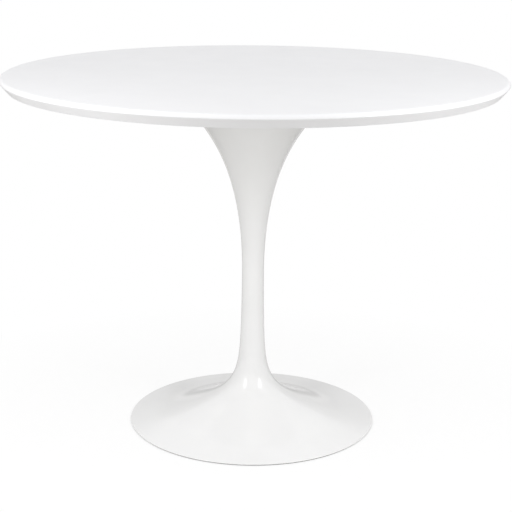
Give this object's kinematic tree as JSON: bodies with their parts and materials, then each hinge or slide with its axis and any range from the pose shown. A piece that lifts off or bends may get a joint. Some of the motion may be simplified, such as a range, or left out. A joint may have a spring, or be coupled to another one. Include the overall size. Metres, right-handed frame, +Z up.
{
  "type": "round pedestal table",
  "caption": "White round dining table: a bevelled disc top on a slim trumpet-shaped pedestal with a shallow bell foot, held together by a hidden tie rod.",
  "frame": {"origin": "on the floor, under the middle of the table", "axes": "+Z up along the axis of the pedestal; the table is round, so +X and +Y are any two directions across it"},
  "size_m": [0.9999, 1, 0.728],
  "materials": {
    "white_lacquer": "satin",
    "white_gloss_paint": "gloss",
    "zinc_plated_steel": "satin",
    "brass": "satin",
    "black_cast_iron": "matte",
    "grey_rubber": "matte"
  },
  "bodies": {
    "root": {"table_top": "white_lacquer", "top_inserts": "brass", "mounting_plate": "zinc_plated_steel", "plate_hub": "zinc_plated_steel", "plate_screws": "zinc_plated_steel", "plate_washers": "zinc_plated_steel", "trumpet": "white_gloss_paint", "stem_sleeve": "zinc_plated_steel", "foot": "white_gloss_paint", "tie_rod": "zinc_plated_steel", "hub_jam_nut": "zinc_plated_steel", "clamp_plate": "zinc_plated_steel", "rod_washer": "zinc_plated_steel", "rod_lock_washer": "zinc_plated_steel", "rod_nut": "zinc_plated_steel", "ballast_ring": "black_cast_iron", "ballast_screws": "zinc_plated_steel", "glide_ring": "grey_rubber"}
  },
  "joints": []
}
